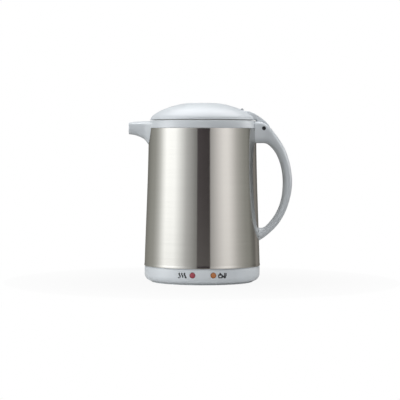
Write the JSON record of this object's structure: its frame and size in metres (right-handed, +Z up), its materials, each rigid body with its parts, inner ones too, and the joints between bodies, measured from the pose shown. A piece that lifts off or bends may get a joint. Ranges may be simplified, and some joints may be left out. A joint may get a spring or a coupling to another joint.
{
  "type": "electric handy pot",
  "caption": "Electric tilt-to-pour hot-water pot: tapered steel body, beak spout, D handle with fork hinge, hinged domed lid with a pour button and valve, lamp base.",
  "frame": {"origin": "on the body axis, in the plane the rubber ring rests on", "axes": "+X towards the handle, -X towards the spout, -Y towards the lamps, +Z up"},
  "size_m": [0.2157, 0.1522, 0.2346],
  "materials": {
    "brushed_steel_shell": "horizontally brushed",
    "drawn_steel": "satin drawn",
    "pale_plastic": "satin moulded",
    "inner_plastic": "matt moulded",
    "grey_plastic": "matt moulded",
    "seal_rubber": "silicone",
    "foot_rubber": "matt",
    "red_lens": "tinted clear",
    "orange_lens": "tinted clear",
    "plated_steel": "zinc plated",
    "heater_aluminium": "as cast",
    "heater_sheath": "annealed",
    "insulation_felt": "felt",
    "phenolic": "pressed",
    "clear_plastic": "clear",
    "black_plastic": "matt",
    "brass_pin": "plain",
    "lead_rubber": "sleeved"
  },
  "bodies": {
    "pot": {"outer_shell": "brushed_steel_shell", "shoulder_ring": "pale_plastic", "inner_vessel": "drawn_steel", "vessel_gasket": "seal_rubber", "insulation_sleeve": "insulation_felt", "base_housing": "pale_plastic", "bottom_cover": "pale_plastic", "foot_ring": "foot_rubber", "cover_screws": "plated_steel", "clamp_strap": "plated_steel", "strap_nuts": "plated_steel", "heater_plate": "heater_aluminium", "heater_tube": "heater_sheath", "thermostat": "phenolic", "thermal_fuse": "clear_plastic", "lamp_board": "phenolic", "lamps": "clear_plastic", "boil_lens": "red_lens", "warm_lens": "orange_lens", "power_inlet": "black_plastic", "inlet_pins": "brass_pin", "inlet_magnets": "plated_steel", "leads": "lead_rubber", "handle": "pale_plastic", "handle_plates": "plated_steel", "handle_screws": "plated_steel", "hinge_pin": "plated_steel"},
    "lid": {"lid_cover": "pale_plastic", "lid_plate": "inner_plastic", "lid_screws": "plated_steel", "upper_seal": "seal_rubber", "stopper": "inner_plastic", "stopper_gasket": "seal_rubber", "stem_seal": "seal_rubber", "rocker_pin": "plated_steel", "valve_spring": "plated_steel"},
    "button": {"pour_button": "grey_plastic"},
    "rocker": {"rocker": "grey_plastic"},
    "valve": {"valve": "grey_plastic", "valve_seal": "seal_rubber"}
  },
  "joints": [
    {"name": "lid_hinge", "type": "hinge", "parent": "pot", "child": "lid", "pos_m": [0.0798, 0, 0.2012], "axis": [0, 1, 0], "range_deg": [0, 82]},
    {"name": "button_press", "type": "slide", "parent": "lid", "child": "button", "axis": [0, 0, -1], "range_m": [0, 0.003], "stiffness_N_per_m": 500, "springref_m": -0.003},
    {"name": "rocker_turn", "type": "hinge", "parent": "lid", "child": "rocker", "pos_m": [0.028, 0, 0.2189], "axis": [0, 1, 0], "range_deg": [0, 6.4]},
    {"name": "valve_lift", "type": "slide", "parent": "lid", "child": "valve", "axis": [0, 0, 1], "range_m": [0, 0.00312], "deforming": ["valve_spring"]}
  ],
  "couplings": [
    {"joint": "rocker_turn", "follows": "button_press", "rad_per_m": 37.037},
    {"joint": "valve_lift", "follows": "button_press", "ratio": 1.037}
  ]
}
